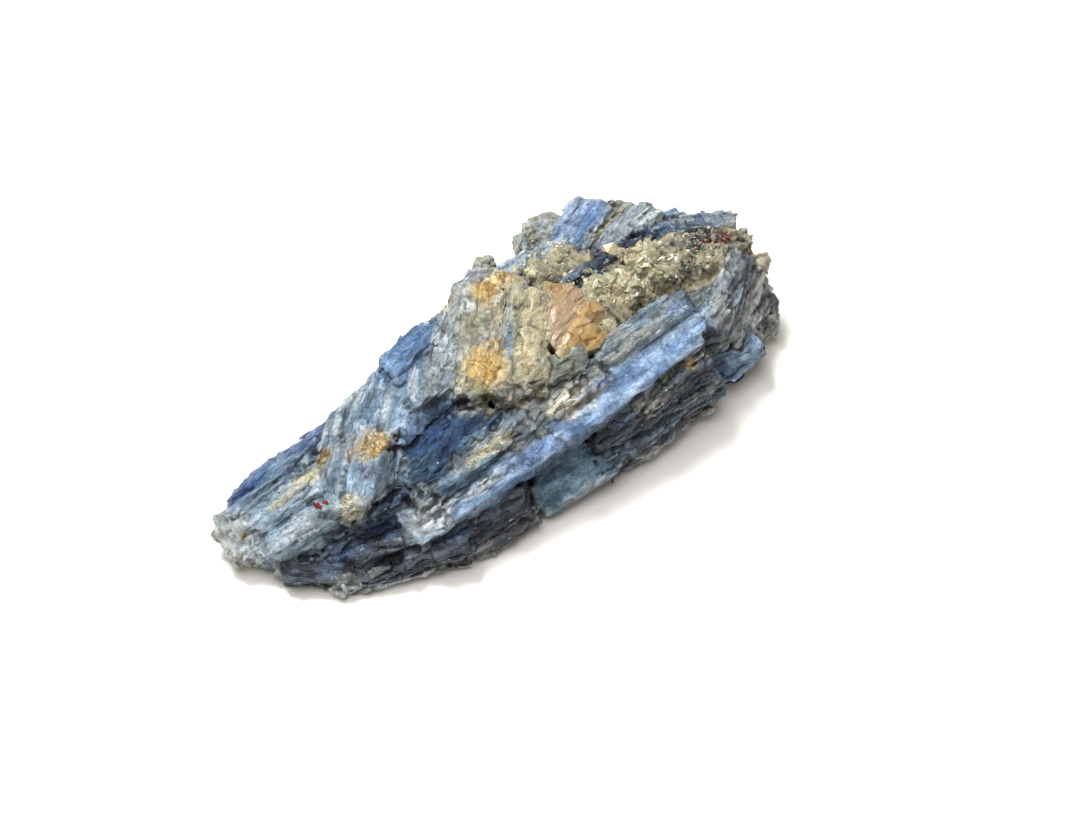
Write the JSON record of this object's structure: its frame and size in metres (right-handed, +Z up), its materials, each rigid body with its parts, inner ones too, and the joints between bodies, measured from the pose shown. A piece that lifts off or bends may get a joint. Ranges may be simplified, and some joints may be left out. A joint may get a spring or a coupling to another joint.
{
  "type": "kyanite blade cluster",
  "caption": "Raw kyanite stone: flat blue blades grown side by side in a long fan, with granular quartz at one end and a broken flat underside.",
  "frame": {"origin": "centre of the outline seen from above, on the plane of the broken flat underside", "axes": "+X along the blades towards the wide end with the quartz, +Y towards the back where the fan of blades ends, +Z up; the flank of steep dark blades faces -Y"},
  "size_m": [0.0881, 0.0395, 0.0182],
  "materials": {
    "kyanite": "pearly cleavage faces, glassy blue and grey, semi-gloss",
    "quartz": "granular, cloudy, slightly glassy",
    "garnet": "small dark red glassy grains"
  },
  "bodies": {
    "root": {"kyanite_cluster": "kyanite"}
  },
  "joints": []
}
